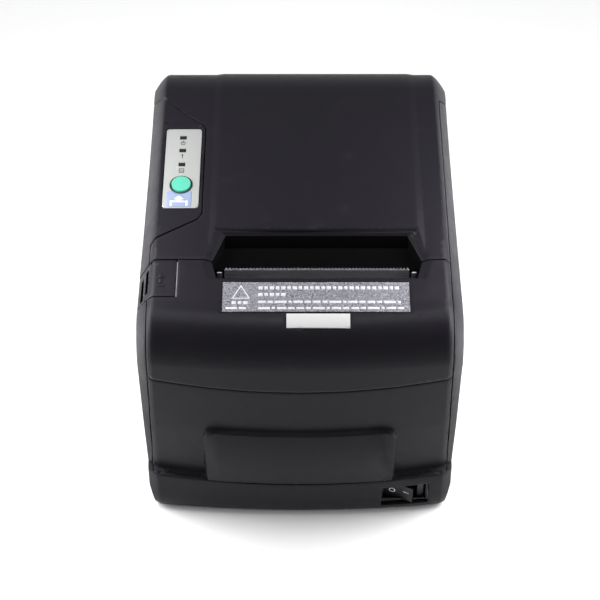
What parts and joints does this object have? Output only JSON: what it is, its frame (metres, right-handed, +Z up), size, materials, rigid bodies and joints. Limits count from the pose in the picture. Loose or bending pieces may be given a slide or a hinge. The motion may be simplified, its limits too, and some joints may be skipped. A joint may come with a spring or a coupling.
{
  "type": "receipt printer",
  "caption": "Counter-top thermal receipt printer with a hinged paper cover, tear-off slot, pull-off cutter cover and sloping shoulders.",
  "frame": {"origin": "middle of the footprint, on the table, under the four feet", "axes": "+X to the right seen from the front, +Y from the front to the back, +Z up"},
  "size_m": [0.145, 0.186, 0.1357],
  "materials": {
    "black_plastic": "satin moulded",
    "dark_plastic": "matte moulded",
    "steel": "zinc plated sheet",
    "rubber": "matte",
    "nylon": "satin moulded",
    "green_plastic": "satin",
    "panel_film": "satin film",
    "foil_label": "matte foil",
    "white_label": "smooth",
    "circuit_board": "lacquered",
    "ceramic_head": "glazed"
  },
  "bodies": {
    "case": {"lower_case": "black_plastic", "front_panel": "black_plastic", "bottom_plate": "steel", "foot_front_left": "rubber", "foot_front_right": "rubber", "foot_rear_left": "rubber", "foot_rear_right": "rubber", "base_screw_front_left": "steel", "base_screw_front_right": "steel", "base_screw_rear_left": "steel", "base_screw_rear_right": "steel", "panel_label": "panel_film", "lamp_power": "dark_plastic", "lamp_error": "dark_plastic", "lamp_paper": "dark_plastic", "feed_switch": "dark_plastic", "panel_board": "circuit_board", "open_button_spring": "steel", "tear_blade": "steel", "mech_frame": "steel", "thermal_head": "ceramic_head", "head_heatsink": "steel", "head_spring_left": "steel", "head_spring_right": "steel", "idler_axle": "steel", "feed_motor": "dark_plastic", "cutter_plate": "steel", "cutter_wheel_axle": "steel", "cutter_motor": "dark_plastic", "paper_bucket": "dark_plastic", "main_board": "circuit_board", "power_socket": "dark_plastic", "drawer_socket": "dark_plastic", "lan_socket": "dark_plastic", "usb_socket": "dark_plastic", "switch_housing": "dark_plastic", "hinge_shaft": "steel"},
    "lid": {"paper_cover": "black_plastic", "platen_bracket": "steel", "platen_bush_left": "nylon", "platen_bush_right": "nylon", "fixed_blade": "steel"},
    "platen": {"platen_roller": "rubber", "platen_shaft": "steel", "platen_gear": "nylon"},
    "front_cover": {"cutter_cover": "black_plastic", "silver_label": "foil_label", "white_label": "white_label"},
    "latch": {"latch_shaft": "steel", "latch_hook_left": "steel", "latch_hook_right": "steel"},
    "open_key": {"open_button": "black_plastic"},
    "feed_key": {"feed_button": "green_plastic"},
    "rocker": {"power_rocker": "black_plastic"},
    "idler": {"idler_gear": "nylon"},
    "pinion": {"motor_pinion": "steel"},
    "blade": {"cutter_blade": "steel"},
    "cutter_drive": {"cutter_gear": "nylon"},
    "hand_wheel": {"cutter_hand_wheel": "nylon"}
  },
  "joints": [
    {"name": "lid_swing", "type": "hinge", "parent": "case", "child": "lid", "pos_m": [0, 0.087, 0.1], "axis": [-1, 0, 0], "range_deg": [0, 90]},
    {"name": "platen_turn", "type": "hinge", "parent": "lid", "child": "platen", "pos_m": [0, -0.036, 0.103], "axis": [1, 0, 0], "continuous": true},
    {"name": "front_cover_pull", "type": "slide", "parent": "case", "child": "front_cover", "axis": [0, -1, 0], "range_m": [0, 0.02]},
    {"name": "latch_swing", "type": "hinge", "parent": "case", "child": "latch", "pos_m": [0, -0.046, 0.09], "axis": [1, 0, 0], "range_deg": [0, 12], "stiffness_Nm_per_rad": 0.5, "springref_deg": -5.73},
    {"name": "open_button_press", "type": "slide", "parent": "case", "child": "open_key", "axis": [0, 0, -1], "range_m": [0, 0.003], "deforming": ["open_button_spring"]},
    {"name": "feed_button_press", "type": "slide", "parent": "case", "child": "feed_key", "axis": [0, 0, -1], "range_m": [0, 0.001], "stiffness_N_per_m": 800, "springref_m": -0.0005},
    {"name": "rocker_tip", "type": "hinge", "parent": "case", "child": "rocker", "pos_m": [0.0474, -0.0864, 0.0127], "axis": [0, 0, 1], "range_deg": [0, 18]},
    {"name": "idler_turn", "type": "hinge", "parent": "case", "child": "idler", "pos_m": [0, -0.036, 0.07888], "axis": [1, 0, 0], "continuous": true},
    {"name": "pinion_turn", "type": "hinge", "parent": "case", "child": "pinion", "pos_m": [0, -0.04966, 0.06522], "axis": [1, 0, 0], "continuous": true},
    {"name": "blade_feed", "type": "slide", "parent": "case", "child": "blade", "axis": [0, 1, 0], "range_m": [0, 0.007]},
    {"name": "cutter_gear_turn", "type": "hinge", "parent": "case", "child": "cutter_drive", "pos_m": [0.022, -0.064, 0.116], "axis": [0, 0, 1], "range_deg": [-63, 0]},
    {"name": "hand_wheel_turn", "type": "hinge", "parent": "case", "child": "hand_wheel", "pos_m": [0.03812, -0.064, 0.117], "axis": [0, 0, 1], "range_deg": [0, 42]}
  ],
  "couplings": [
    {"joint": "idler_turn", "follows": "platen_turn", "ratio": -0.76471},
    {"joint": "pinion_turn", "follows": "platen_turn", "ratio": 1.8571},
    {"joint": "open_button_press", "follows": "latch_swing", "m_per_rad": 0.014324},
    {"joint": "cutter_gear_turn", "follows": "blade_feed", "rad_per_m": -156.25},
    {"joint": "hand_wheel_turn", "follows": "blade_feed", "rad_per_m": 104.17}
  ]
}
